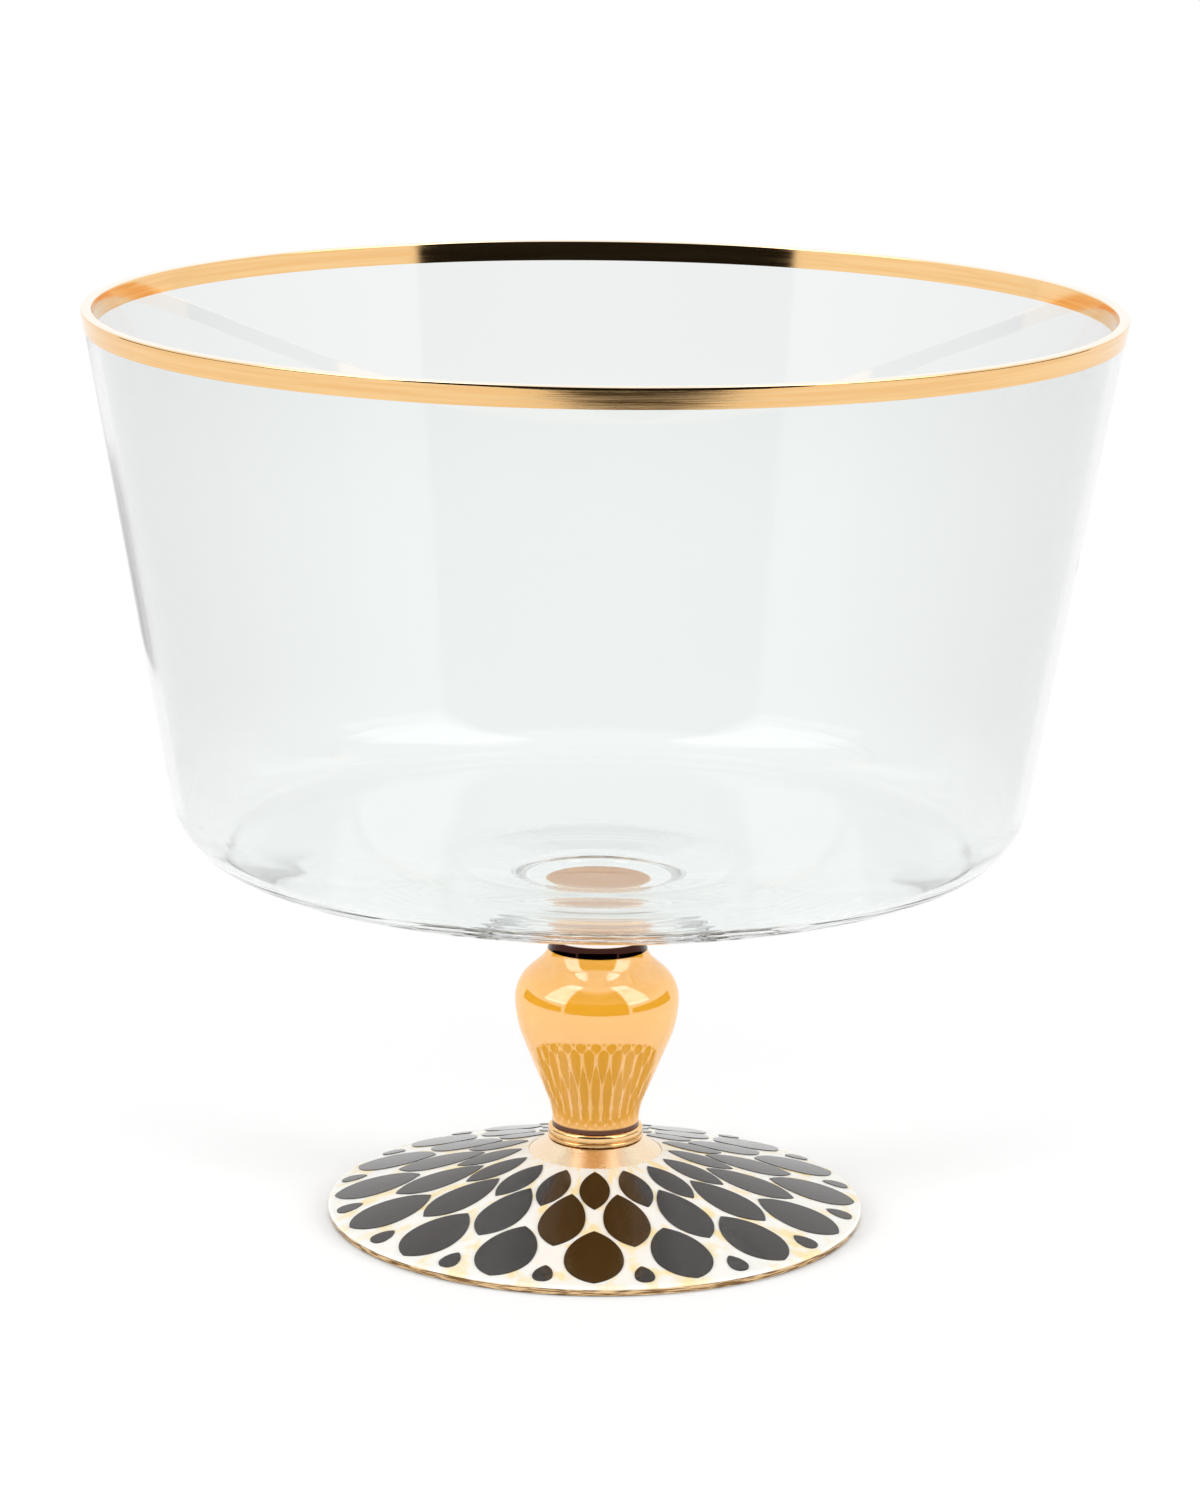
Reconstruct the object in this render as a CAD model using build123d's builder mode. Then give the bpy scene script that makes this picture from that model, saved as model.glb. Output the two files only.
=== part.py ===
from build123d import *
import os
from math import cos, degrees, pi, radians, sin, tan

# Footed trifle bowl: a clear tapered bowl on an amber stem and a painted glass foot.
# Lengths are in millimetres and angles in degrees. Z is up.
# The origin is the middle of the face that the foot rests on.

# Bowl, measured over the glass
rim_diameter = 253.6
bowl_height = 146.3
wall_taper = 9.85
wall_thickness = 2.4
heel_radius = 19.0
bottom_slope = 6.5
inside_slope = 5.4
bottom_thickness = 4.2
lip_bevel = 0.6

# Button, the clear pad under the bottom that the stem is joined to
button_diameter = 39.6
button_depth = 2.5
button_round = 1.6
button_sweep_reach = 3.4

# Stem: heights of its outline's corners are above the stem's own base
stem_length = 60.9
stem_top_diameter = 26.8
stem_top_flare_height = 2.6
neck_diameter = 24.2
neck_height = 47.95
shoulder_diameter = 41.64
shoulder_height = 40.38
flank_diameter = 40.5
flank_height = 30.27
waist_diameter = 21.76
waist_height = 7.45
neck_blend = 6.8
shoulder_round = 9.9
flank_round = 27.0
waist_blend = 16.4

# Foot, measured over the glass
foot_diameter = 133.8
foot_height = 19.5
foot_slope = 15.3
foot_edge_height = 2.3
foot_edge_bevel = 0.6
rest_ring_width = 5.3
foot_hollow_flat_diameter = 20.0
foot_hollow_round = 24.0
boss_top_diameter = 23.4
boss_foot_diameter = 33.4

# Clear adhesive discs at the stem's two ends
bond_thickness = 0.3
bowl_bond_diameter = 25.6
foot_bond_diameter = 20.4

# Gilding: fired gold in a coat thick enough to be a solid of its own
gilding_thickness = 0.2
rim_band_height = 5.0
rim_band_breadth = 8.0
neck_band_base_height = 49.1
neck_band_height = 5.0
foot_edge_band_height = 1.6
collar_top_margin = 0.5

# Bead: the gilded ring, in two steps, round the stem's base
bead_height = 3.2
bead_gap = 0.15
lower_bead_radius = 0.55
upper_bead_radius = 1.1
lower_bead_web = 0.53
upper_bead_web = 0.1
bead_sides = 12

# Enamel: an ivory ground coat and raised black leaves in three rows that interlock
ground_thickness = 0.3
leaf_thickness = 0.2
leaf_count = 16
# Each leaf's base, widest place and tip are shares of the painted breadth,
# and its width is a share of the pitch at its widest place.
inner_leaf_shares = (0.035, 0.20, 0.36, 0.72)
middle_leaf_shares = (0.235, 0.49, 0.68, 0.70)
outer_leaf_shares = (0.545, 0.79, 0.975, 0.66)
edge_drop_shares = (0.845, 0.93, 0.975, 0.20)

# One overrun serves all cutting shapes
overrun = 2.0

# Heights and radii that follow from the sizes above
rim_radius = rim_diameter / 2
foot_radius = foot_diameter / 2
boss_top_radius = boss_top_diameter / 2
boss_foot_radius = boss_foot_diameter / 2
stem_base = foot_height + bond_thickness
stem_top = stem_base + stem_length
button_face = stem_top + bond_thickness
bottom_height = button_face + button_depth
lip_height = bottom_height + bowl_height
inside_height = bottom_height + bottom_thickness

os.makedirs("parts", exist_ok=True)


def bottom_line(radius, centre_height, slope):
    """Point on a conical face of the bottom at a radius."""
    return (radius, centre_height + radius * tan(radians(slope)))


def heel_corner(lip_radius, centre_height, slope):
    """Where the straight wall and the conical bottom would meet without the round heel."""
    wall = tan(radians(wall_taper))
    radius = (lip_radius - (lip_height - centre_height) * wall) / (1 - wall * tan(radians(slope)))
    return bottom_line(radius, centre_height, slope)


def coat(blank, thickness, inner_radius, outer_radius, low, high, backing=0):
    """Section of a coat on the outside of a blank, between two radii and two heights.

    The coat is as thick as given, and lies on a backing coat of its own thickness.
    """
    with BuildSketch(Plane.XZ) as under:
        add(blank.sketch_local)
        if backing:
            offset(amount=backing, kind=Kind.INTERSECTION)
    with BuildSketch(Plane.XZ) as section:
        add(blank.sketch_local)
        offset(amount=backing + thickness, kind=Kind.INTERSECTION)
        with Locations((inner_radius, low)):
            Rectangle(outer_radius - inner_radius, high - low, align=Align.MIN, mode=Mode.INTERSECT)
        add(under.sketch_local, mode=Mode.SUBTRACT)
    return section.sketch


# Bowl: one blown wall, a round heel, a shallow conical bottom and the button in one piece.
# The bottom's inside falls less steeply than its underside, so it thickens towards the middle.
inner_rim_radius = rim_radius - wall_thickness / cos(radians(wall_taper))
button_radius = button_diameter / 2
sweep_end = bottom_line(button_radius + button_sweep_reach, bottom_height, bottom_slope)
with BuildSketch(Plane.XZ) as bowl_profile:
    with BuildLine():
        outside = FilletPolyline(
            (0, bottom_height),
            heel_corner(rim_radius, bottom_height, bottom_slope),
            (rim_radius, lip_height),
            radius=[heel_radius],
        )
        inside = FilletPolyline(
            (0, inside_height),
            heel_corner(inner_rim_radius, inside_height, inside_slope),
            (inner_rim_radius, lip_height),
            radius=[heel_radius - wall_thickness],
        )
        Line(outside @ 0, inside @ 0)
        Line(outside @ 1, inside @ 1)
    make_face()
    chamfer(bowl_profile.vertices().group_by(Axis.Y)[-1], lip_bevel)
    with BuildLine():
        face_edge = (button_radius - button_round, button_face)
        side_foot = (button_radius, button_face + button_round)
        Polyline(
            face_edge,
            (0, button_face),
            (0, inside_height),
            bottom_line(button_radius, inside_height, inside_slope),
            sweep_end,
        )
        sweep = TangentArc(
            sweep_end,
            side_foot,
            tangent=(-cos(radians(bottom_slope)), -sin(radians(bottom_slope))),
        )
        TangentArc(side_foot, face_edge, tangent=sweep % 1)
    make_face()
with BuildPart() as bowl:
    add(bowl_profile.sketch)
    revolve(axis=Axis.Z)
bowl.part.label = "bowl"
export_step(bowl.part, "parts/bowl.step")

# Rim gilding: a coat over the lip and down both faces of the wall, as one U-shaped section.
band_base = lip_height - rim_band_height
above_lip = lip_height + overrun
band_inside = rim_radius - rim_band_breadth
band_outside = rim_radius + overrun
with BuildPart() as rim_lustre:
    add(coat(bowl_profile, gilding_thickness, band_inside, band_outside, band_base, above_lip))
    revolve(axis=Axis.Z)
rim_lustre.part.label = "rim_lustre"
export_step(rim_lustre.part, "parts/rim_lustre.step")

# Stem: a knop with a round shoulder, drawn in to a narrow waist and a neck.
neck_radius = neck_diameter / 2
waist_radius = waist_diameter / 2
stem_top_radius = stem_top_diameter / 2
with BuildSketch(Plane.XZ) as stem_profile:
    with BuildLine():
        side = FilletPolyline(
            (neck_radius, stem_top - stem_top_flare_height),
            (neck_radius, stem_base + neck_height),
            (shoulder_diameter / 2, stem_base + shoulder_height),
            (flank_diameter / 2, stem_base + flank_height),
            (waist_radius, stem_base + waist_height),
            (waist_radius, stem_base),
            radius=[neck_blend, shoulder_round, flank_round, waist_blend],
        )
        flare = TangentArc(side @ 0, (stem_top_radius, stem_top), tangent=(0, 1))
        Polyline(flare @ 1, (0, stem_top), (0, stem_base), side @ 1)
    make_face()
with BuildPart() as stem:
    add(stem_profile.sketch)
    revolve(axis=Axis.Z)
stem.part.label = "stem"
export_step(stem.part, "parts/stem.step")

# Neck gilding: a coat round the neck, from its blend into the shoulder up its straight stretch.
# It is drawn from the neck's own stretch of the stem's section.
neck_band_base = stem_base + neck_band_base_height
neck_band_top = neck_band_base + neck_band_height
neck_band_reach = neck_radius + overrun
with BuildSketch(Plane.XZ) as neck_blank:
    add(stem_profile.sketch_local)
    with Locations((0, neck_band_base - overrun)):
        Rectangle(neck_band_reach, neck_band_height + 2 * overrun, align=Align.MIN, mode=Mode.INTERSECT)
with BuildPart() as neck_lustre:
    add(coat(neck_blank, gilding_thickness, waist_radius, neck_band_reach, neck_band_base, neck_band_top))
    revolve(axis=Axis.Z)
neck_lustre.part.label = "neck_lustre"
export_step(neck_lustre.part, "parts/neck_lustre.step")

# Base bead: a gilded ring in two steps, threaded round the stem's base and set on its waist.
# The two steps are round rods, drawn with many flat sides.
bead_base = stem_base + bead_gap
lower_bead_height = bead_base + lower_bead_radius
upper_bead_height = bead_base + bead_height - upper_bead_radius
with BuildSketch(Plane.XZ) as base_bead_profile:
    with Locations((waist_radius, bead_base)):
        Rectangle(lower_bead_web, bead_height, align=Align.MIN)
    with Locations((waist_radius + lower_bead_web, lower_bead_height)):
        RegularPolygon(lower_bead_radius, bead_sides)
    with Locations((waist_radius + upper_bead_web, upper_bead_height)):
        RegularPolygon(upper_bead_radius, bead_sides)
    with Locations((waist_radius, bead_base)):
        Rectangle(upper_bead_radius + overrun, bead_height, align=Align.MIN, mode=Mode.INTERSECT)
with BuildPart() as base_bead:
    add(base_bead_profile.sketch)
    revolve(axis=Axis.Z)
base_bead.part.label = "base_bead"
export_step(base_bead.part, "parts/base_bead.step")

# Adhesive discs: the upper one between button and stem, the lower one between stem and foot.
with BuildPart() as bowl_bond:
    with BuildSketch(Plane.XY.offset(stem_top)):
        Circle(bowl_bond_diameter / 2)
    extrude(amount=bond_thickness)
bowl_bond.part.label = "bowl_bond"
export_step(bowl_bond.part, "parts/bowl_bond.step")

with BuildPart() as foot_bond:
    with BuildSketch(Plane.XY.offset(foot_height)):
        Circle(foot_bond_diameter / 2)
    extrude(amount=bond_thickness)
foot_bond.part.label = "foot_bond"
export_step(foot_bond.part, "parts/foot_bond.step")

# Foot: a low cone of clear glass with a steeper boss on top, hollow below, on a flat resting ring.
slope_rise = tan(radians(foot_slope))
hollow_radius = foot_radius - rest_ring_width
hollow_flat_radius = foot_hollow_flat_diameter / 2
hollow_height = (hollow_radius - hollow_flat_radius) * slope_rise
with BuildSketch(Plane.XZ) as foot_blank:
    with BuildLine():
        Polyline(
            (0, 0),
            (foot_radius, 0),
            (foot_radius, foot_edge_height),
            (boss_foot_radius, foot_edge_height + (foot_radius - boss_foot_radius) * slope_rise),
            (boss_top_radius, foot_height),
            (0, foot_height),
            close=True,
        )
    make_face()
    chamfer(foot_blank.vertices().group_by(Axis.X)[-1], foot_edge_bevel)
with BuildSketch(Plane.XZ) as foot_profile:
    add(foot_blank.sketch_local)
    with BuildLine():
        hollow = FilletPolyline(
            (0, hollow_height),
            (hollow_flat_radius, hollow_height),
            (hollow_radius, 0),
            radius=[foot_hollow_round],
        )
        Polyline(hollow @ 0, (0, 0), hollow @ 1)
    make_face(mode=Mode.SUBTRACT)
with BuildPart() as foot:
    add(foot_profile.sketch)
    revolve(axis=Axis.Z)
foot.part.label = "foot"
export_step(foot.part, "parts/foot.step")

# Collar gilding: a coat over the boss's side and the outer margin of its top.
above_foot = foot_height + overrun
foot_gilt_radius = foot_radius + gilding_thickness
collar_inside = foot_bond_diameter / 2 + collar_top_margin
with BuildPart() as collar_lustre:
    add(coat(foot_blank, gilding_thickness, collar_inside, boss_foot_radius, foot_edge_height, above_foot))
    revolve(axis=Axis.Z)
collar_lustre.part.label = "collar_lustre"
export_step(collar_lustre.part, "parts/collar_lustre.step")

# Foot edge gilding: a band round the outer edge, under the enamel's own edge.
band_low = (foot_edge_height - foot_edge_band_height) / 2
ground_low = band_low + foot_edge_band_height
with BuildPart() as foot_edge_lustre:
    add(coat(foot_blank, gilding_thickness, hollow_radius, foot_gilt_radius, band_low, ground_low))
    revolve(axis=Axis.Z)
foot_edge_lustre.part.label = "foot_edge_lustre"
export_step(foot_edge_lustre.part, "parts/foot_edge_lustre.step")

# Enamel ground: the ivory coat from the collar to the foot's edge.
with BuildPart() as enamel_ground:
    add(coat(foot_blank, ground_thickness, boss_foot_radius, foot_gilt_radius, ground_low, above_foot))
    revolve(axis=Axis.Z)
enamel_ground.part.label = "enamel_ground"
export_step(enamel_ground.part, "parts/enamel_ground.step")


# Enamel leaves: each row is cut from a thin cone of black enamel by upright leaf-shaped prisms.
painted_breadth = foot_radius - boss_foot_radius
leaf_pitch = 2 * pi / leaf_count


def place_on_foot(share):
    """Radius at a share of the painted breadth, from the collar outwards."""
    return boss_foot_radius + share * painted_breadth


def leaf_outline(shares):
    """One leaf, pointed at both ends, along +X."""
    base_share, widest_share, tip_share, width_share = shares
    base = place_on_foot(base_share)
    widest = place_on_foot(widest_share)
    tip = place_on_foot(tip_share)
    half_width = width_share * leaf_pitch * widest / 2
    with BuildSketch() as leaf:
        with BuildLine():
            TangentArc((widest, half_width), (tip, 0), tangent=(1, 0))
            TangentArc((widest, half_width), (base, 0), tangent=(-1, 0))
            mirror(about=Plane.XZ)
        make_face()
    return leaf.sketch


def leaf_row(name, shares, turn_share=0):
    """One row of leaves round the foot, turned by a share of the pitch."""
    leaf = leaf_outline(shares)
    low = foot_edge_height
    high = above_foot
    black = coat(foot_blank, leaf_thickness, boss_foot_radius, foot_radius, low, high, ground_thickness)
    with BuildPart() as row:
        add(black)
        revolve(axis=Axis.Z)
        with BuildSketch(Plane.XY):
            with PolarLocations(0, leaf_count, start_angle=degrees(turn_share * leaf_pitch)):
                add(leaf)
        extrude(amount=above_foot, mode=Mode.INTERSECT)
    row.part.label = name
    export_step(row.part, f"parts/{name}.step")


leaf_row("leaves_inner", inner_leaf_shares)
leaf_row("leaves_middle", middle_leaf_shares, 1 / 2)
leaf_row("leaves_outer", outer_leaf_shares)
leaf_row("edge_drops", edge_drop_shares, 1 / 2)

print(f"overall height {lip_height + gilding_thickness:.1f}")
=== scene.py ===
# %% [markdown]
# # A footed trifle bowl in glass, gold and enamel
#
# The real object is blown and painted glassware: a deep clear bowl with a gilded lip, on an amber
# stem and a low foot that is painted in black on ivory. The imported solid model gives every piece
# its place, so this script loads it first, and then gives each piece its finer shape and its
# finish. The object's lengths are written in millimetres, and turned into Blender's metres where a
# mesh or a mask is made. The studio round it is written in metres.

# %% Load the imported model
from math import ceil, cos, pi, radians, tan

import bmesh
import bpy
from mathutils import Matrix, Vector


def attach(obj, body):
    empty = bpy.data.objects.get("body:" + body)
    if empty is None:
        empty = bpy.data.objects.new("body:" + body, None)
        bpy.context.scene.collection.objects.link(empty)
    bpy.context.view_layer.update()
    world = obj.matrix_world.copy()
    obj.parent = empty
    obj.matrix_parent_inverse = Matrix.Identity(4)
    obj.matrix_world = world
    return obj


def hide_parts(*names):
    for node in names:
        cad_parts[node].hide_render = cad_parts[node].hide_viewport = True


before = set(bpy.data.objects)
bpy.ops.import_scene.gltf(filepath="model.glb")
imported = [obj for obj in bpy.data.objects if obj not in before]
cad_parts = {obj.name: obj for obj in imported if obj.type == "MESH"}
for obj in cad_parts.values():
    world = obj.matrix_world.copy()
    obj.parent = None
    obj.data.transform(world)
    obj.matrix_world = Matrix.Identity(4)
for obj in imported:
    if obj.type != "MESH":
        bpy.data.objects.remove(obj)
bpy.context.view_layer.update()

MM = 0.001
print("nodes of the packed model:", sorted(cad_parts))

# %% [markdown]
# ## The camera
#
# The photograph looks down on the bowl by about 13 degrees, through a long lens from 1.3 m away.
# The place, tilt and lens were solved from the outlines of the rim, the neck and the foot. The
# picture is also turned by two thirds of a degree, which is the roll about the line of sight.
# Light can run along inside a glass wall for many bounces before it comes out, so the limits on
# bounces are raised, or the thick parts of the glass would turn grey.

# %% The camera
lens_length = 123.27
film_width = 36
camera_place = (0, -1.2391, 0.4039)
camera_dip = 12.932
camera_roll = 0.691
most_bounces = 40

scene = bpy.context.scene
camera_data = bpy.data.cameras.new("camera")
camera_data.lens = lens_length
camera_data.sensor_width = film_width
camera_data.clip_start = 0.05
camera_data.clip_end = 50
camera = bpy.data.objects.new("camera", camera_data)
scene.collection.objects.link(camera)
tilt = Matrix.Rotation(radians(90 - camera_dip), 4, "X")
roll = Matrix.Rotation(radians(camera_roll), 4, "Z")
camera.matrix_world = Matrix.Translation(camera_place) @ tilt @ roll
scene.camera = camera
scene.view_settings.view_transform = "Standard"
for kind in ("max", "glossy", "transmission"):
    setattr(scene.cycles, f"{kind}_bounces", most_bounces)
print("camera stands", round(Vector(camera_place).length, 3), "m from the foot")

# %% [markdown]
# ## A pen for the outlines of turned pieces
#
# Nearly every piece is round about one upright axis, as glass is when it turns on the pipe. So each
# one starts as an outline in the XZ plane, which Spin then turns into a closed skin. The outline is
# drawn as a pen would: straight to a corner, and round it by spinning the pen's own point about the
# centre of the corner's arc. That keeps every rounding a true arc.
#
# Smooth shading blends the directions of neighbouring faces, and over a long straight run that
# would bend light as if the run were curved. So each run gets a holding point close to either end,
# which keeps the blend inside the last quarter of a millimetre.

# %% A pen for outlines
ARC_STEP = radians(5)
LEAST_STEPS = 3
HOLD = 0.25 * MM


def draw_run(bm, pen, end):
    """Draws a straight run, with a holding point near either end, and returns its last point."""
    run = end - pen.co
    places = [end]
    if run.length > 4 * HOLD:
        hold = run.normalized() * HOLD
        places = [pen.co + hold, end - hold, end]
    for place in places:
        point = bm.verts.new(place)
        bm.edges.new((pen, point))
        pen = point
    return pen


def draw_outline(bm, stops, closed):
    """Draws straight runs between stops; a stop with a third number is rounded by that radius."""
    corners = [Vector((stop[0], 0, stop[1])) * MM for stop in stops]
    first = pen = bm.verts.new(corners[0])
    for number in range(1, len(stops)):
        corner = corners[number]
        rounding = stops[number][2] * MM if len(stops[number]) > 2 else 0
        if not rounding:
            pen = draw_run(bm, pen, corner)
            continue
        inward = (corner - corners[number - 1]).normalized()
        outward = (corners[(number + 1) % len(corners)] - corner).normalized()
        turn = inward.angle(outward)
        axis = inward.cross(outward).normalized()
        point = draw_run(bm, pen, corner - inward * rounding * tan(turn / 2))
        centre = point.co + axis.cross(inward) * rounding
        steps = max(LEAST_STEPS, ceil(turn / ARC_STEP))
        arc = bmesh.ops.spin(bm, geom=[point], cent=centre, axis=axis, angle=turn, steps=steps)
        pen = [piece for piece in arc["geom_last"] if isinstance(piece, bmesh.types.BMVert)][0]
    if closed:
        bm.edges.new((pen, first))


# %% [markdown]
# ## A lathe
#
# Spin turns the outline about the upright axis, as glass turns at the bench. It merges its first
# and last copies by itself, but a point on the axis is copied at every step, so the doubles are
# merged before the faces are turned outwards. Corners sharper than 35 degrees stay crisp, and the
# rest is shaded smooth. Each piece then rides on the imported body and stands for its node.

# %% A lathe
TURN_STEPS = 256
MERGE_REACH = 0.001 * MM
SHARP_ANGLE = radians(35)


def lathe(name, stops, node, closed=False):
    """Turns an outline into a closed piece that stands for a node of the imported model."""
    bm = bmesh.new()
    draw_outline(bm, stops, closed)
    bmesh.ops.spin(
        bm, geom=bm.verts[:] + bm.edges[:], cent=(0, 0, 0), axis=(0, 0, 1),
        angle=2 * pi, steps=TURN_STEPS, use_merge=True,
    )
    bmesh.ops.remove_doubles(bm, verts=bm.verts[:], dist=MERGE_REACH)
    bmesh.ops.recalc_face_normals(bm, faces=bm.faces[:])
    mesh = bpy.data.meshes.new(name)
    bm.to_mesh(mesh)
    bm.free()
    mesh.shade_smooth()
    mesh.set_sharp_from_angle(angle=SHARP_ANGLE)
    piece = bpy.data.objects.new(name, mesh)
    scene.collection.objects.link(piece)
    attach(piece, "root")
    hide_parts(node)
    size = piece.dimensions / MM
    print(f"{name}: {size.x:.1f} mm wide, {size.z:.1f} mm high, {len(mesh.polygons)} faces")
    return piece


# %% [markdown]
# ## The clear bowl's wall
#
# A blown bowl has one wall: straight sides that lean out, a round heel, and a bottom that falls
# gently to a clear button, the pad that the stem is stuck to. Its lip is melted round in the flame.
# The heel could be placed by its centre, but it is simpler to give the corner where the wall and
# the bottom would meet without it, and let the pen round that corner.

# %% Sizes of the wall and the bottom
rim_radius = 126.8
lip_height = 229.8
lip_round = 0.4
wall_taper = radians(9.85)
wall_thickness = 2.4
heel_radius = 19.0
bottom_height = 83.5
bottom_fall = tan(radians(6.5))
wall_lean = tan(wall_taper)
inner_rim_radius = rim_radius - wall_thickness / cos(wall_taper)


def heel_corner(lip_radius, centre_height, fall):
    """Where the straight wall would meet the falling bottom without the round heel."""
    radius = (lip_radius - (lip_height - centre_height) * wall_lean) / (1 - wall_lean * fall)
    return radius, centre_height + radius * fall


def wall_radius(lip_radius, height):
    """Radius of a straight wall face at a height."""
    return lip_radius - (lip_height - height) * wall_lean


outer_heel = heel_corner(rim_radius, bottom_height, bottom_fall)
print("wall and bottom meet at radius and height", [round(size, 1) for size in outer_heel])

# %% [markdown]
# ## The clear bowl's floor
#
# Inside, blown glass is thick and uneven: the floor is a shallow dish over the button, then climbs
# to a gentle cone, and turns into the wall by a tighter curve than the outside has. These small
# shapes matter more than any colour, because a bottom with two skins is a lens. The dish draws the
# top of the stem as a disc with a pale image under it, and the tight inner heel squeezes the view
# of the foot into thin dark lines along the bowl's lower edge.
#
# One outline that goes down the inside and back up the outside makes the real thickness, since
# every look through glass bends at both skins. The button's lower face laps a few hundredths into
# the resin of the joint, so that no two skins share one place and the eye looks straight through
# the joint onto the stem, as it does where glass is glued to glass.

# %% The clear bowl
inside_height = 88.3
inside_fall = tan(radians(4.0))
dish_radius = 18
dish_height = 88.9
dish_round = 30
dish_rim_radius = 36
dish_rim_height = 92.6
dish_rim_round = 40
inner_heel_radius = 13.0
floor_apex_height = dish_rim_height - dish_rim_radius * inside_fall

joint_top = 81.0
joint_lap = 0.03
button_face = joint_top - joint_lap
button_radius = 19.8
button_flare = 0.23
button_draw_in = 0.1
button_round = 1.6
button_blend = 3.8
button_foot_radius = button_radius + button_flare

bowl = lathe(
    "clear_bowl",
    [
        (0, inside_height),
        (dish_radius, dish_height, dish_round),
        (dish_rim_radius, dish_rim_height, dish_rim_round),
        (*heel_corner(inner_rim_radius, floor_apex_height, inside_fall), inner_heel_radius),
        (inner_rim_radius, lip_height, lip_round),
        (rim_radius, lip_height, lip_round),
        (*outer_heel, heel_radius),
        (button_foot_radius, bottom_height + button_foot_radius * bottom_fall, button_blend),
        (button_radius - button_draw_in, button_face, button_round),
        (0, button_face),
    ],
    "bowl",
)

# %% [markdown]
# ## Coats
#
# Gold and enamel lie on the glass as thin coats that follow its outline. A coat could be the glass
# mesh with Solidify on a part of it, but a run of the same outline, moved sideways twice, gives
# clean ends and keeps a hair of air under the coat. A rounding grows on the outer side of a bend
# and shrinks on its inner side, as it does on a real layer.

# %% A helper for coats
skin_gap = 0.02


def beside(run, distance):
    """The same run of stops, moved to its right, with its roundings grown or shrunk to suit."""
    points = [Vector(stop[:2]) for stop in run]
    moved = []
    for number, point in enumerate(points):
        before = point - points[number - 1] if number else points[1] - point
        after = points[number + 1] - point if number + 1 < len(points) else before
        before, after = before.normalized(), after.normalized()
        rights = [Vector((way.y, -way.x)) for way in (before, after)]
        place = point + (rights[0] + rights[1]) * distance / (1 + rights[0].dot(rights[1]))
        growth = distance if before.cross(after) > 0 else -distance
        rounding = run[number][2] + growth if len(run[number]) > 2 else 0
        moved.append((place.x, place.y, rounding))
    return moved


def coat(name, run, thickness, node):
    """A closed thin shell along the right side of a run."""
    shell = beside(run, skin_gap) + beside(run, thickness)[::-1]
    return lathe(name, shell, node, closed=True)


# %% [markdown]
# ## The gold on the lip
#
# Liquid gold is brushed over the lip and about 5 mm down both faces, then fired. It covers the
# rounded lip, so its section is a thin letter U turned over, leaning with the glass.

# %% The gold on the lip
gold_thickness = 0.15
gold_band_width = 5.0
band_base = lip_height - gold_band_width
rim_gold = coat(
    "rim_gold",
    [
        (wall_radius(rim_radius, band_base), band_base),
        (rim_radius, lip_height, lip_round),
        (inner_rim_radius, lip_height, lip_round),
        (wall_radius(inner_rim_radius, band_base), band_base),
    ],
    gold_thickness,
    "rim_lustre",
)

# %% [markdown]
# ## The amber stem
#
# The stem is a knop drawn in to a narrow waist and a neck. Its outline is one run of large arcs that
# flow into each other, and it flares a little where it meets the button. The roundings are the same
# as those of the solid model, because the reflections show every change of curve.

# %% The amber stem
stem_base = 19.8
joint_foot = 80.7
stem_top = joint_foot + joint_lap
flare_radius = 13.4
flare_height = 0.975
flare_round = 3.25
neck_radius = 12.1
neck_height = 47.95
neck_round = 6.8
shoulder_radius = 20.82
shoulder_height = 40.38
shoulder_round = 9.9
flank_radius = 20.25
flank_height = 30.27
flank_round = 27.0
waist_radius = 10.88
waist_height = 7.45
waist_round = 16.4
stem = lathe(
    "amber_stem",
    [
        (0, stem_top),
        (flare_radius, stem_top),
        (neck_radius, stem_top - flare_height, flare_round),
        (neck_radius, stem_base + neck_height, neck_round),
        (shoulder_radius, stem_base + shoulder_height, shoulder_round),
        (flank_radius, stem_base + flank_height, flank_round),
        (waist_radius, stem_base + waist_height, waist_round),
        (waist_radius, stem_base),
        (0, stem_base),
    ],
    "stem",
)

# %% [markdown]
# ## The gold ring on the neck
#
# One band sits on the neck. It is a coat like the lip's: it starts on the curve that rises out of
# the shoulder, and goes up the straight neck. Its bend is the neck's own rounding, cut short, so it
# needs the place where the two shorter runs would meet.

# %% The gold ring on the neck
neck_band_height = 49.1
neck_band_base = stem_base + neck_band_height
neck_band_foot_radius = 12.386
neck_bend_height = 69.854
neck_gold = coat(
    "neck_gold",
    [
        (neck_band_foot_radius, neck_band_base),
        (neck_radius, neck_bend_height, neck_round),
        (neck_radius, neck_band_base + gold_band_width),
    ],
    gold_thickness,
    "neck_lustre",
)

# %% [markdown]
# ## The gold bead at the waist
#
# A small gilded ring in two steps hides the joint between the stem and the foot: a narrow bead
# below and a broad one above, with a groove between them. It could be two torus rings, but one
# outline with rounded corners keeps it a single closed piece, as the real one is.

# %% The gold bead at the waist
bead_gap = 0.15
bead_height = 3.2
lower_bead_reach = 1.08
lower_bead_height = 0.9
lower_bead_round = 0.4
groove_reach = 0.7
groove_height = 1.0
upper_bead_reach = 1.0
upper_bead_foot = 1.1
upper_bead_foot_round = 0.5
upper_bead_round = 0.85
bead_base = stem_base + bead_gap
bead_top = bead_base + bead_height
bead_gold = lathe(
    "bead_gold",
    [
        (waist_radius + skin_gap, bead_base),
        (waist_radius + lower_bead_reach, bead_base, lower_bead_round),
        (waist_radius + lower_bead_reach, bead_base + lower_bead_height, lower_bead_round),
        (waist_radius + groove_reach, bead_base + groove_height),
        (waist_radius + upper_bead_reach, bead_base + upper_bead_foot, upper_bead_foot_round),
        (waist_radius + upper_bead_reach, bead_top, upper_bead_round),
        (waist_radius + skin_gap, bead_top),
    ],
    "base_bead",
    closed=True,
)

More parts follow.
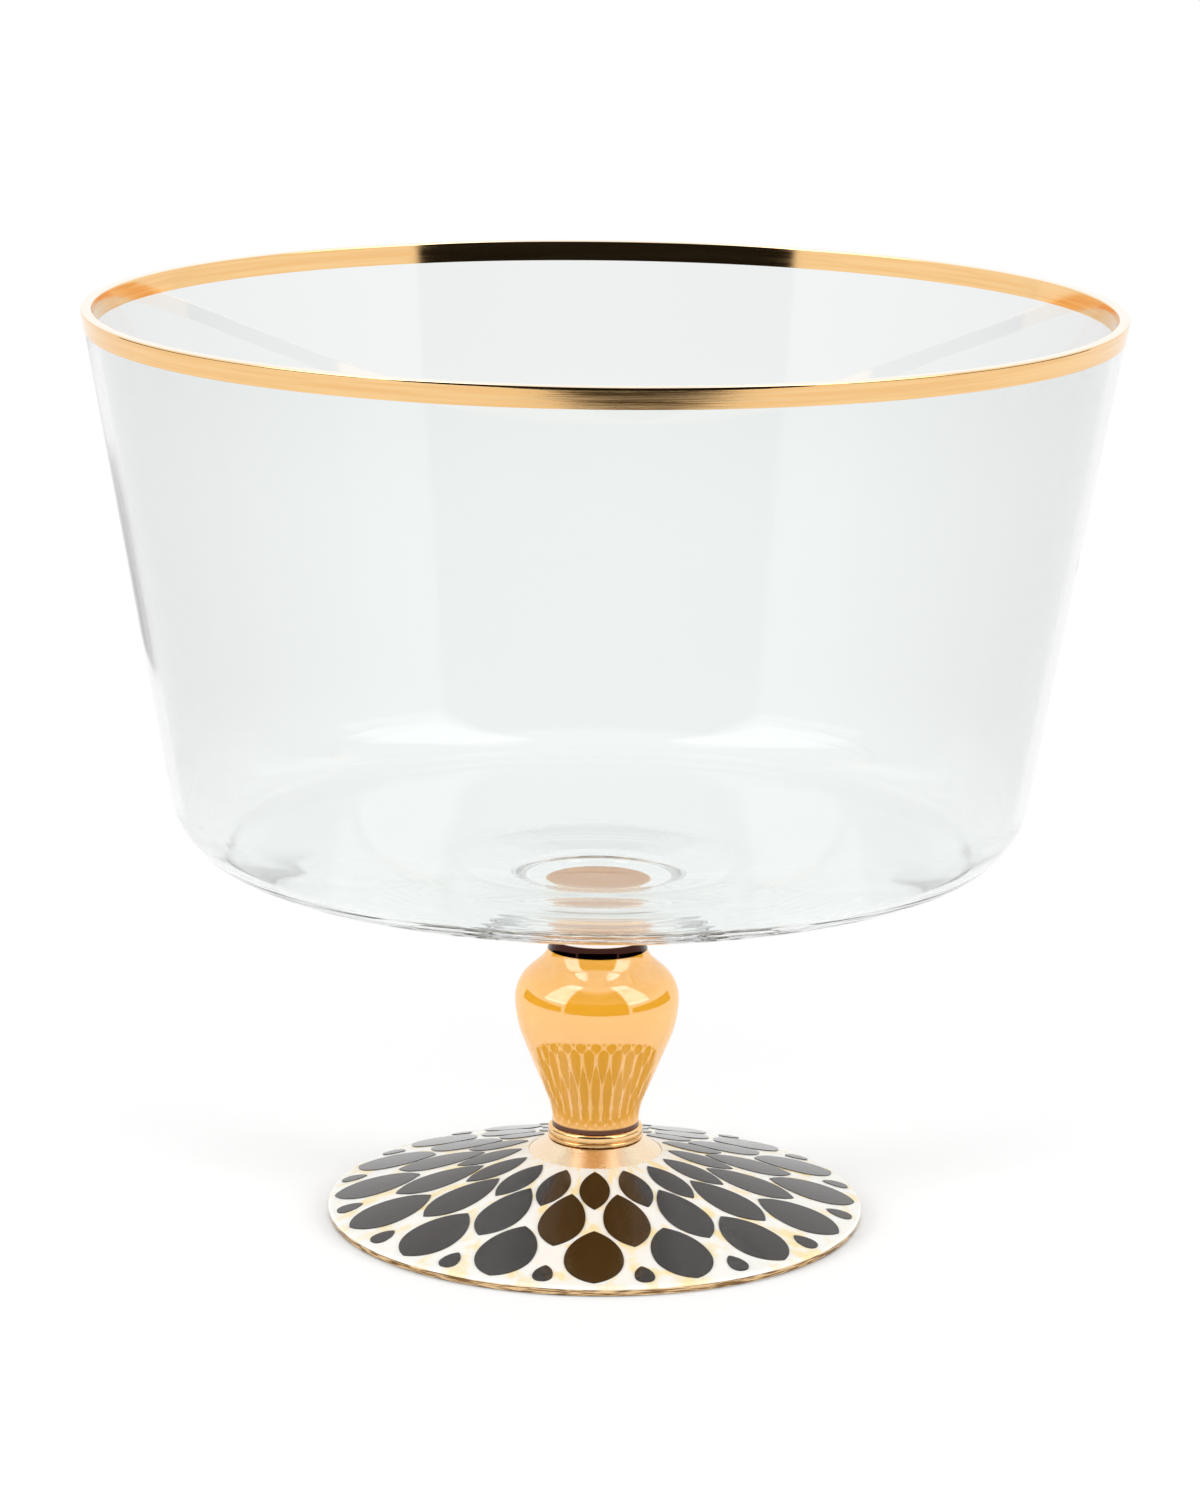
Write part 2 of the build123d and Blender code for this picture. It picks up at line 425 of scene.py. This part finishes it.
# %% [markdown]
# ## The clear foot
#
# The foot is a low cone of clear glass with a flared boss on top. It is hollow below and stands on a
# flat ring, as pressed and blown feet do, so that it doesn't rock. Its outer edge is melted round.

# %% The clear foot
foot_radius = 66.9
foot_height = 19.5
foot_edge_height = 2.3
edge_round = 0.6
slope = tan(radians(15.3))
boss_top_radius = 11.7
boss_foot_radius = 16.7
boss_foot_height = foot_edge_height + (foot_radius - boss_foot_radius) * slope
hollow_radius = 61.6
hollow_flat_radius = 10
hollow_round = 24
hollow_height = (hollow_radius - hollow_flat_radius) * slope
foot = lathe(
    "clear_foot",
    [
        (0, hollow_height),
        (hollow_flat_radius, hollow_height, hollow_round),
        (hollow_radius, 0),
        (foot_radius, 0, edge_round),
        (foot_radius, foot_edge_height, edge_round),
        (boss_foot_radius, boss_foot_height),
        (boss_top_radius, foot_height),
        (0, foot_height),
    ],
    "foot",
)

# %% [markdown]
# ## The gold collar
#
# The gold collar climbs the boss and turns onto its top, where it ends just outside the joint. It
# is brushed on after the foot is formed, so its outline is the boss's own. A tiny rounding keeps
# the coat whole over the boss's upper corner.

# %% The gold collar
collar_round = 0.1
collar_top_margin = 1
collar_gold = coat(
    "collar_gold",
    [
        (boss_foot_radius, boss_foot_height),
        (boss_top_radius, foot_height, collar_round),
        (boss_top_radius - collar_top_margin, foot_height),
    ],
    gold_thickness,
    "collar_lustre",
)

# %% [markdown]
# ## The ivory and the gold line
#
# The ivory enamel starts where the collar ends and runs down the slope and just over the edge,
# where a narrow gold line takes over. The enamel is thicker than the gold, because it is laid on
# with a full brush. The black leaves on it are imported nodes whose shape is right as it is.

# %% The ivory and the gold line
enamel_edge_height = 1.84
enamel_thickness = 0.3
edge_gold_base = 0.35
edge_gold_draw_in = 0.055
edge_gold = coat(
    "foot_edge_gold",
    [
        (foot_radius - edge_gold_draw_in, edge_gold_base),
        (foot_radius, edge_round),
        (foot_radius, enamel_edge_height - skin_gap),
    ],
    gold_thickness,
    "foot_edge_lustre",
)
ivory_ground = coat(
    "ivory_ground",
    [
        (foot_radius, enamel_edge_height),
        (foot_radius, foot_edge_height, edge_round),
        (boss_foot_radius + skin_gap, boss_foot_height),
    ],
    enamel_thickness,
    "enamel_ground",
)

# %% [markdown]
# ## Finishes: how the shader trees are built
#
# Each finish is a small shader tree. One helper adds a node, sets its plain values and joins the
# sockets that are given, so that a tree reads from its source to its output. The others stand for
# the few steps that every finish here is made of: a place, a noise, a soft step and a mix.

# %% Helpers for shader trees
def add_node(tree, kind, inputs=None, **settings):
    """Adds a node; an input may be a plain value or another node's output."""
    made = tree.nodes.new(kind)
    for key, value in settings.items():
        setattr(made, key, value)
    for key, value in (inputs or {}).items():
        if isinstance(value, bpy.types.NodeSocket):
            tree.links.new(value, made.inputs[key])
        else:
            made.inputs[key].default_value = value
    return made


def math(tree, operation, first, second=0.0):
    """One Math node's output."""
    return add_node(tree, "ShaderNodeMath", {0: first, 1: second}, operation=operation).outputs[0]


def as_colour(colour):
    """A socket as it is, or three numbers with the fourth that a colour needs."""
    return colour if isinstance(colour, bpy.types.NodeSocket) else (*colour, 1)


def colour_between(tree, share, first, second):
    """A colour that goes from the first to the second as a share goes from 0 to 1."""
    inputs = {0: share, 6: as_colour(first), 7: as_colour(second)}
    return add_node(tree, "ShaderNodeMix", inputs, data_type="RGBA").outputs[2]


def stretch(tree, value, low, high):
    """Maps the stretch from low to high onto 0 to 1, with soft ends."""
    inputs = {0: value, 1: low, 2: high}
    return add_node(tree, "ShaderNodeMapRange", inputs, interpolation_type="SMOOTHSTEP").outputs[0]


def above(tree, height, step):
    """0 below a soft step and 1 above it; a step is two heights in millimetres."""
    return stretch(tree, height, step[0] * MM, step[1] * MM)


def place_on_piece(tree):
    """The place on the piece, and its height, both in metres."""
    place = add_node(tree, "ShaderNodeTexCoord").outputs["Object"]
    return place, add_node(tree, "ShaderNodeSeparateXYZ", {0: place}).outputs[2]


def cloud(tree, place, scale, detail):
    """A soft noise."""
    inputs = {"Vector": place, "Scale": scale, "Detail": detail}
    return add_node(tree, "ShaderNodeTexNoise", inputs).outputs[0]


def bend_normal(tree, shader, height, distance):
    """Feeds a height into the shader's normal."""
    inputs = {"Height": height, "Strength": 1.0, "Distance": distance}
    tree.links.new(add_node(tree, "ShaderNodeBump", inputs).outputs[0], shader.inputs["Normal"])


# %% [markdown]
# ## Starting a finish
#
# Every finish starts as one shader joined to one output. Glass and the floor need more than one
# shader, so a second helper joins another one to the output in its place. The last helper prints
# the size of a finished tree.

# %% Starting a finish
def start_finish(name):
    """A material with its shader joined to its output, and nothing else."""
    finish = bpy.data.materials.new(name)
    finish.use_nodes = True
    tree = finish.node_tree
    tree.nodes.clear()
    shader = add_node(tree, "ShaderNodeBsdfPrincipled")
    add_node(tree, "ShaderNodeOutputMaterial", {"Surface": shader.outputs[0]})
    return finish, tree, shader


def show_instead(tree, surface):
    """Joins another shader to the output in place of the first."""
    output = tree.nodes["Material Output"]
    tree.links.new(surface.outputs[0], output.inputs["Surface"])


def tell(finish):
    """Prints how large a finish is."""
    print(f"{finish.name}: {len(finish.node_tree.nodes)} shader nodes")


# %% [markdown]
# ## Brushwork, shared by gold and enamel
#
# Gold and enamel are put on while the glass turns on a wheel, so the brush leaves long strokes
# round the axis. The group divides the place by its distance from the axis, which gives a point on
# a circle, and lets the noise change slowly round that circle and quickly across it. Its outputs
# are a stroke mask and a finer ripple.

# %% The brushwork group
def brushwork_group():
    """A node group: strokes that run round the upright axis."""
    tree = bpy.data.node_groups.new("wheel brushwork", "ShaderNodeTree")
    for name in ("Round", "Across"):
        tree.interface.new_socket(name, in_out="INPUT", socket_type="NodeSocketFloat")
    for name in ("Stroke", "Ripple"):
        tree.interface.new_socket(name, in_out="OUTPUT", socket_type="NodeSocketFloat")
    given = add_node(tree, "NodeGroupInput").outputs
    place = add_node(tree, "ShaderNodeTexCoord").outputs["Object"]
    x, y, z = add_node(tree, "ShaderNodeSeparateXYZ", {0: place}).outputs
    squared = math(tree, "ADD", math(tree, "MULTIPLY", x, x), math(tree, "MULTIPLY", y, y))
    reach = math(tree, "SQRT", squared)
    point = add_node(tree, "ShaderNodeCombineXYZ", {
        0: math(tree, "MULTIPLY", math(tree, "DIVIDE", x, reach), given["Round"]),
        1: math(tree, "MULTIPLY", math(tree, "DIVIDE", y, reach), given["Round"]),
        2: math(tree, "MULTIPLY", math(tree, "ADD", reach, z), given["Across"]),
    }).outputs[0]
    stroke = cloud(tree, point, 1.0, 3.0)
    ripple = cloud(tree, point, 4.0, 2.0)
    add_node(tree, "NodeGroupOutput", {"Stroke": stroke, "Ripple": ripple})
    return tree


brushwork = brushwork_group()
print(f"{brushwork.name}: {len(brushwork.nodes)} nodes, used by gold, ivory and black")


def brush(tree, round_turn, across):
    """Places the brushwork group: how often strokes change round a turn, and across a metre."""
    placed = add_node(tree, "ShaderNodeGroup", node_tree=brushwork)
    placed.inputs["Round"].default_value = round_turn
    placed.inputs["Across"].default_value = across
    return placed.outputs


# %% [markdown]
# ## Clear glass
#
# Blown glass is smooth, but never quite even: its skins wander by hundredths of a millimetre over
# a few centimetres, and that bends reflections a little. Its colour is nearly none. Only the wall
# turns grey where it is seen edge on, and the mask by height keeps that tint off the bottom, which
# stays clear. Its mirror is toned down, because the real walls reflect the white room faintly.
#
# For a lamp's light, which Cycles can't focus through glass, the shader turns into a plain
# see-through one, so that the glass doesn't throw a dark shadow.

# %% Clear glass
def let_lamps_through(tree, shader, colour):
    """Makes a glass plainly see-through for the rays that look for a lamp."""
    for_lamps = add_node(tree, "ShaderNodeBsdfTransparent", {"Color": as_colour(colour)})
    is_shadow = add_node(tree, "ShaderNodeLightPath").outputs["Is Shadow Ray"]
    inputs = {0: is_shadow, 1: shader.outputs[0], 2: for_lamps.outputs[0]}
    show_instead(tree, add_node(tree, "ShaderNodeMixShader", inputs))


def clear_glass_finish():
    """Clear blown glass, grey where the wall is seen edge on."""
    finish, tree, shader = start_finish("clear glass")
    place, height = place_on_piece(tree)
    wander = cloud(tree, place, 14.0, 1.0)
    body = colour_between(tree, wander, (0.94, 0.962, 0.955), (0.955, 0.974, 0.966))
    on_wall = above(tree, height, (98, 125))
    facing = add_node(tree, "ShaderNodeLayerWeight", {"Blend": 0.5}).outputs["Facing"]
    edge_on = math(tree, "MULTIPLY", facing, on_wall)
    tinted = colour_between(tree, edge_on, body, (0.79, 0.79, 0.795))
    tree.links.new(tinted, shader.inputs["Base Color"])
    shader.inputs["Roughness"].default_value = 0.0
    shader.inputs["IOR"].default_value = 1.5
    shader.inputs["Transmission Weight"].default_value = 1.0
    shader.inputs["Specular Tint"].default_value = (0.6, 0.6, 0.6, 1)
    bend_normal(tree, shader, wander, 0.2 * MM)
    let_lamps_through(tree, shader, (0.95, 0.96, 0.955))
    return finish


clear_glass = clear_glass_finish()
tell(clear_glass)

# %% [markdown]
# ## Fired gold
#
# Fired gold is a true metal film. It takes its colour from the metal, with the painted light told
# below laid into that colour, and everything else that it shows is a reflection. The brush leaves
# slightly thinner, paler lines, and the film is a touch rougher there. A very fine ripple breaks the
# reflections into the strands that the rim shows.
#
# One pot of gold looks different from place to place. On the foot's edge it has brown streaks of
# painted shade. It is satin and pale on the collar, bright on the bead, and painted nearly white
# along the lip, a painted highlight. On the neck it is painted nearly black, a painted dark
# reflection, with a painted rosy highlight at its upper end. These could be five finishes. One
# finish with masks by height holds them all.

# %% Where the gold changes
full_gold = (0.90, 0.55, 0.235)
pale_gold = (0.96, 0.63, 0.30)
# Brown for the streaks on the foot's edge: painted shade, dark reflections laid into the gold.
painted_shade_brown = (0.22, 0.12, 0.05)
gold_streak = (0.86, 0.60, 0.33)
# Near-white gold: a painted highlight along the lip, and a paler tone on the collar.
whitish_gold = (1.0, 0.92, 0.78)
# Near-black and rosy gold for the neck: a painted dark reflection, and a painted highlight above it.
painted_dark_gold = (0.05, 0.018, 0.014)
rosy_highlight_gold = (1.0, 0.88, 0.85)

edge_end = (4, 6)
collar_start, collar_end = (8, 12), (19.6, 19.9)
painted_dark_start, painted_dark_end = (60, 61), (71.7, 72)
rosy_end = (80, 81)
lip_start = (229.6, 229.9)


def between(tree, height, start, end):
    """1 between two soft steps and 0 outside them."""
    return math(tree, "SUBTRACT", above(tree, height, start), above(tree, height, end))


def gold_colour(tree, strokes, paler, height, on_collar):
    """The gold's colour, from the foot's edge up to the lip."""
    brushed = colour_between(tree, paler, full_gold, pale_gold)
    # Streaks of painted shade on the foot's edge, where the gold mirrors dark.
    shade_streak = stretch(tree, strokes["Ripple"], 0.42, 0.58)
    shade_streaked = colour_between(tree, shade_streak, painted_shade_brown, gold_streak)
    colour = colour_between(tree, above(tree, height, edge_end), shade_streaked, brushed)
    # Along the lip the gold is painted nearly white, a painted highlight; on the collar it is only
    # paler.
    collar_paling = math(tree, "MULTIPLY", on_collar, 0.55)
    paling = math(tree, "MAXIMUM", collar_paling, above(tree, height, lip_start))
    colour = colour_between(tree, paling, colour, whitish_gold)
    # The neck's gold is painted nearly black, a painted dark reflection, and rosy at its upper end,
    # a painted highlight.
    colour = colour_between(tree, between(tree, height, painted_dark_start, painted_dark_end), colour, painted_dark_gold)
    return colour_between(tree, between(tree, height, painted_dark_end, rosy_end), colour, rosy_highlight_gold)


# %% [markdown]
# ## The gold's shader
#
# The masks give the metal its colour, and the brush strokes give it its roughness. The collar is
# satin, so it gets some more. The fine ripple goes into the normal alone: two thousandths of a
# millimetre are enough to break a mirror into strands.

# %% The gold's shader
def gold_finish():
    """Peach-yellow gold, brushed on and fired."""
    finish, tree, shader = start_finish("fired gold")
    strokes = brush(tree, 3.0, 900.0)
    paler = stretch(tree, strokes["Stroke"], 0.35, 0.65)
    place, height = place_on_piece(tree)
    on_collar = between(tree, height, collar_start, collar_end)
    colour = gold_colour(tree, strokes, paler, height, on_collar)
    tree.links.new(colour, shader.inputs["Base Color"])
    shader.inputs["Metallic"].default_value = 1.0
    brushed = math(tree, "ADD", math(tree, "MULTIPLY", paler, 0.04), 0.06)
    satin = math(tree, "ADD", brushed, math(tree, "MULTIPLY", on_collar, 0.19))
    tree.links.new(satin, shader.inputs["Roughness"])
    bend_normal(tree, shader, strokes["Ripple"], 0.002 * MM)
    return finish


fired_gold = gold_finish()
tell(fired_gold)

# %% [markdown]
# ## Amber lustre glass
#
# The stem looks like amber glass under a lustre: deep orange where it mirrors something dark, and
# peach where it mirrors the white table. A strong clear reflection over an even amber body does
# that, so the shader has a high index of refraction. The amber is painted a little lighter at the
# waist, painted light that makes up for the shade there, and deeper towards the shoulder, with soft
# clouds. Just above the bead runs a thin dark line of painted shade at the joint, which is dull as
# well as dark, so it takes the shine out of the mirror too.

# %% Amber lustre glass
def amber_finish():
    """Amber glass under a mirror-like lustre."""
    finish, tree, shader = start_finish("amber lustre glass")
    place, height = place_on_piece(tree)
    clouds = cloud(tree, place, 60.0, 2.0)
    rise = above(tree, height, (28, 62))
    share = math(tree, "MULTIPLY", rise, math(tree, "ADD", clouds, 0.5))
    # Lighter at the waist: painted light that makes up for the shade there.
    amber = colour_between(tree, share, (1.0, 0.49, 0.08), (0.98, 0.45, 0.03))
    # A thin line of painted shade just above the bead, dark and dull.
    shade_line = math(tree, "SUBTRACT", 1.0, above(tree, height, (24.1, 24.7)))
    colour = colour_between(tree, shade_line, amber, (0.05, 0.015, 0.008))
    tree.links.new(colour, shader.inputs["Base Color"])
    shine = colour_between(tree, shade_line, (1, 1, 1), (0.45, 0.25, 0.18))
    tree.links.new(shine, shader.inputs["Specular Tint"])
    shader.inputs["Roughness"].default_value = 0.03
    shader.inputs["IOR"].default_value = 2.6
    bend_normal(tree, shader, clouds, 0.05 * MM)
    return finish


amber_lustre = amber_finish()
tell(amber_lustre)

# %% [markdown]
# ## Ivory and black enamel
#
# The ivory ground is brushed on in several passes, and pale yellow washes show between them. The
# black is a thick glossy enamel with a warm brown cast, a little uneven under its gloss. Both are
# glazed, so they reflect the room clearly over their own colour.

# %% Ivory and black enamel
def enamel_finish(name, strokes_given, wash, colours, roughness, ripple):
    """A glossy enamel that goes from one colour to another along its brush strokes."""
    finish, tree, shader = start_finish(name)
    strokes = brush(tree, *strokes_given)
    share = stretch(tree, strokes["Stroke"], *wash) if wash else strokes["Stroke"]
    tree.links.new(colour_between(tree, share, *colours), shader.inputs["Base Color"])
    shader.inputs["Roughness"].default_value = roughness
    bend_normal(tree, shader, strokes["Ripple"], ripple * MM)
    return finish


ivory_colours = ((0.93, 0.91, 0.86), (0.95, 0.78, 0.42))
ivory_enamel = enamel_finish("ivory enamel", (9.0, 160.0), (0.48, 0.66), ivory_colours, 0.12, 0.03)
black_colours = ((0.006, 0.004, 0.003), (0.018, 0.009, 0.006))
black_enamel = enamel_finish("black enamel", (12.0, 300.0), None, black_colours, 0.1, 0.04)
tell(ivory_enamel)
tell(black_enamel)

# %% [markdown]
# ## The joints' adhesive
#
# Two thin discs of clear adhesive hold the stem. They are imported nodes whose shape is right, so
# they keep their mesh and only get a finish, a clear resin with a rosy cast and tiny clouds. The
# upper one is the disc that shows through the bowl's floor.

# %% The joints' adhesive
def adhesive_finish():
    """Clear cured resin with a rosy cast."""
    finish, tree, shader = start_finish("clear adhesive")
    place = place_on_piece(tree)[0]
    clouds = cloud(tree, place, 300.0, 2.0)
    colour = colour_between(tree, clouds, (0.84, 0.66, 0.58), (0.88, 0.71, 0.62))
    tree.links.new(colour, shader.inputs["Base Color"])
    shader.inputs["Roughness"].default_value = 0.02
    shader.inputs["IOR"].default_value = 1.5
    shader.inputs["Transmission Weight"].default_value = 1.0
    let_lamps_through(tree, shader, (0.95, 0.94, 0.9))
    return finish


clear_adhesive = adhesive_finish()
tell(clear_adhesive)

# %% [markdown]
# ## Giving each piece its finish
#
# The new pieces get their material by name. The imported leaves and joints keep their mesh, and
# their own material slots are filled again.

# %% Giving each piece its finish
leaf_rows = [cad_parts[name] for name in ("leaves_inner", "leaves_middle", "leaves_outer")]
finishes = {
    clear_glass: [bowl, foot],
    fired_gold: [rim_gold, neck_gold, bead_gold, collar_gold, edge_gold],
    amber_lustre: [stem],
    ivory_enamel: [ivory_ground],
    black_enamel: [*leaf_rows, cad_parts["edge_drops"]],
    clear_adhesive: [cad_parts["bowl_bond"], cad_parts["foot_bond"]],
}
for finish, pieces in finishes.items():
    for piece in pieces:
        piece.data.materials.clear()
        piece.data.materials.append(finish)
    print(f"{finish.name}: {', '.join(piece.name for piece in pieces)}")

# %% [markdown]
# ## The floor
#
# A pale floor carries the shadow. It is a wide table whose front edge lies outside the picture and
# runs a few degrees askew, so the gold on the lip mirrors the table's white and, past that edge, a
# sliver of the darker room. A grid of one face is enough, with its edges moved to their places.

# %% The floor
floor_front = -0.53
floor_skew = 0.1065
floor_back = 1.6
floor_reach = 1.6
floor_mesh = bpy.data.meshes.new("floor")
floor_bm = bmesh.new()
bmesh.ops.create_grid(floor_bm, x_segments=1, y_segments=1, size=floor_reach)
for corner in floor_bm.verts:
    corner.co.y = floor_back if corner.co.y > 0 else floor_front + floor_skew * corner.co.x
floor_bm.to_mesh(floor_mesh)
floor_bm.free()
floor = bpy.data.objects.new("floor", floor_mesh)
scene.collection.objects.link(floor)
print(f"floor: {2 * floor_reach:.1f} m wide, {floor_back - floor_front:.1f} m deep")

# %% [markdown]
# ## The floor's paint
#
# Near the bowl the paint is matt and takes the shadow, and it glows by the little that it lacks to
# the white background. Only the camera, mirrors and glass see the glow, so it throws no light on
# the enamel. Further out they see the floor plainly white, so that it meets the background
# without a line. What is seen through glass is a twentieth dimmer at the far end, because the
# background is too, and a bright strip would show in the bowl's mouth otherwise.

# %% The floor's paint
paint = 0.84
paint_glow = 0.14
shadow_reach = (0.14, 0.38)
dim_reach = (0.9, 1.5)
dim_share = 0.05

floor_finish, tree, shader = start_finish("pale floor")
shader.inputs["Base Color"].default_value = (paint, paint, paint, 1)
shader.inputs["Roughness"].default_value = 0.9
shader.inputs["Specular IOR Level"].default_value = 0.0
rays = add_node(tree, "ShaderNodeLightPath").outputs
looks = math(tree, "MAXIMUM", rays["Is Glossy Ray"], rays["Is Transmission Ray"])
seen = math(tree, "MAXIMUM", rays["Is Camera Ray"], looks)
glow_light = math(tree, "MULTIPLY", seen, paint_glow)
glow = add_node(tree, "ShaderNodeEmission", {"Color": (1, 1, 1, 1), "Strength": glow_light})
near = add_node(tree, "ShaderNodeAddShader", {0: shader.outputs[0], 1: glow.outputs[0]})
place = place_on_piece(tree)[0]
distance = add_node(tree, "ShaderNodeVectorMath", {0: place}, operation="LENGTH").outputs["Value"]
dimmer = math(tree, "MULTIPLY", rays["Is Transmission Ray"], stretch(tree, distance, *dim_reach))
far_light = math(tree, "SUBTRACT", 1.0, math(tree, "MULTIPLY", dimmer, dim_share))
far = add_node(tree, "ShaderNodeEmission", {"Color": (1, 1, 1, 1), "Strength": far_light})
white_share = math(tree, "MULTIPLY", seen, stretch(tree, distance, *shadow_reach))
floor_looks = {0: white_share, 1: near.outputs[0], 2: far.outputs[0]}
show_instead(tree, add_node(tree, "ShaderNodeMixShader", floor_looks))
floor_mesh.materials.append(floor_finish)
tell(floor_finish)

# %% [markdown]
# ## Two black cards
#
# A glass photographer stands black cards beside the glass, just outside the picture, to draw dark
# edges into the reflections. Here two low ones stand a metre away and give the stem its two outer
# amber patches. Nearer ones would darken the gold and the walls too. They show in mirror looks only.
# A grid of half a metre to each side is a square metre, so its scale gives its size in metres.

# %% Two black cards
card_distance = 1.0
card_length = 1.5
card_height = 0.28
card_middle = -0.08
card_half = 0.5
upright = Matrix.Rotation(pi / 2, 4, "Y")
card_finish, tree, shader = start_finish("black card")
shader.inputs["Base Color"].default_value = (0.012, 0.012, 0.012, 1)
shader.inputs["Roughness"].default_value = 0.9
for sign, side_name in ((-1, "left"), (1, "right")):
    card_mesh = bpy.data.meshes.new(f"card_{side_name}")
    card_bm = bmesh.new()
    bmesh.ops.create_grid(card_bm, x_segments=1, y_segments=1, size=card_half, matrix=upright)
    bmesh.ops.scale(card_bm, vec=(1, card_length, card_height), verts=card_bm.verts[:])
    card_place = (sign * card_distance, card_middle, card_height / 2)
    bmesh.ops.translate(card_bm, vec=card_place, verts=card_bm.verts[:])
    card_bm.to_mesh(card_mesh)
    card_bm.free()
    card_mesh.materials.append(card_finish)
    card = bpy.data.objects.new(card_mesh.name, card_mesh)
    scene.collection.objects.link(card)
    for kind in ("camera", "diffuse", "transmission", "volume_scatter", "shadow"):
        setattr(card, f"visible_{kind}", False)
    print(f"{card.name}: {card_length} m long, {card_height} m high")

# %% [markdown]
# ## Directions in the studio
#
# The world knows a ray by its direction alone. So it could show a picture of a room, but a few soft
# regions of direction are enough here, and they are easy to move. Elevation counts in degrees from
# the horizon, and azimuth from straight in front of the bowl, to either side alike.

# %% Directions in the studio
world = bpy.data.worlds.new("studio")
scene.world = world
world.use_nodes = True
sky = world.node_tree
sky.nodes.clear()
direction = add_node(sky, "ShaderNodeTexCoord").outputs["Generated"]
way_x, way_y, way_z = add_node(sky, "ShaderNodeSeparateXYZ", {0: direction}).outputs
to_degrees = 180 / pi
elevation = math(sky, "MULTIPLY", math(sky, "ARCSINE", way_z), to_degrees)
side = math(sky, "ABSOLUTE", way_x)
front = math(sky, "MULTIPLY", way_y, -1.0)
azimuth = math(sky, "MULTIPLY", math(sky, "ARCTAN2", side, front), to_degrees)


def region(value, low, high, soft):
    """1 between two angles and 0 outside them, with soft ends."""
    enters = stretch(sky, value, low - soft / 2, low + soft / 2)
    leaves = stretch(sky, value, high - soft / 2, high + soft / 2)
    return math(sky, "SUBTRACT", enters, leaves)


def brighter(first, second):
    """The brighter of two lights."""
    return math(sky, "MAXIMUM", first, second)


def choose(ray, otherwise, light):
    """One light for a kind of ray, and another otherwise."""
    return add_node(sky, "ShaderNodeMix", {0: sky_rays[ray], 2: otherwise, 3: light}).outputs[0]


# %% [markdown]
# ## The studio
#
# Glass and gold show the room more than themselves. The photograph's reflections give it away: a
# white wall behind, two soft panels in front at either side, a white ceiling, and a dark room
# behind the camera. The world paints these as soft regions of direction for mirror rays. Rays that
# have gone through glass see the same, but find white below the horizon and a twentieth less light,
# which clear walls take. The camera sees plain white, and matt surfaces get an even light grey, so
# colours stay as they are written.

# %% The studio
dark_sides = (-90, 45.5, 2)
dark_heights = (-90, 58, 6)
dark_light = 0.012
panel_sides = (46, 84, 5)
panel_heights = (18, 76, 10)
panel_light = 3.0
horizon = (2, 8)
see_through = 0.95
even_light = 0.72

dark_front = math(sky, "MULTIPLY", region(azimuth, *dark_sides), region(elevation, *dark_heights))
room = math(sky, "SUBTRACT", 1.0, math(sky, "MULTIPLY", dark_front, 1 - dark_light))
panels = math(sky, "MULTIPLY", region(azimuth, *panel_sides), region(elevation, *panel_heights))
mirrored = brighter(room, math(sky, "MULTIPLY", panels, panel_light))
below_horizon = math(sky, "SUBTRACT", 1.0, stretch(sky, elevation, *horizon))
through = math(sky, "MULTIPLY", brighter(mirrored, below_horizon), see_through)

sky_rays = add_node(sky, "ShaderNodeLightPath").outputs
strength = choose("Is Glossy Ray", even_light, mirrored)
strength = choose("Is Transmission Ray", strength, through)
strength = choose("Is Camera Ray", strength, 1.0)
light = add_node(sky, "ShaderNodeBackground", {"Color": (1, 1, 1, 1), "Strength": strength})
add_node(sky, "ShaderNodeOutputWorld", {"Surface": light.outputs[0]})
print(f"{world.name}: {len(sky.nodes)} shader nodes")

# %% [markdown]
# ## Lamps
#
# Two large soft panels stand where the reflections show them, and a wide one hangs overhead. They
# give the knop and the foot their shape and the floor its soft shadow. The world already paints
# the panels that mirrors see, so the lamps themselves stay out of every reflection.

# %% Lamps
aim = Vector((0, 0, 0.1))
side_panel_reach = 1.4
side_panel_front = -0.78
side_panel_height = 0.6
side_panel_size = 0.7
side_panel_power = 12.0
overhead_place = (0, 0.1, 1.8)
overhead_size = 1.2
overhead_power = 5.0


def soft_lamp(name, place, size, power):
    """A square area lamp that faces the bowl."""
    data = bpy.data.lights.new(name, "AREA")
    data.size = size
    data.energy = power
    lamp = bpy.data.objects.new(name, data)
    scene.collection.objects.link(lamp)
    turn = (aim - Vector(place)).to_track_quat("-Z", "Y").to_matrix().to_4x4()
    lamp.matrix_world = Matrix.Translation(place) @ turn
    lamp.visible_glossy = False
    lamp.visible_transmission = False
    lamp.visible_camera = False
    print(f"{name}: {size} m wide, {power} W, at {place}")


for sign in (-1, 1):
    side_place = (sign * side_panel_reach, side_panel_front, side_panel_height)
    soft_lamp("side panel", side_place, side_panel_size, side_panel_power)
soft_lamp("overhead panel", overhead_place, overhead_size, overhead_power)
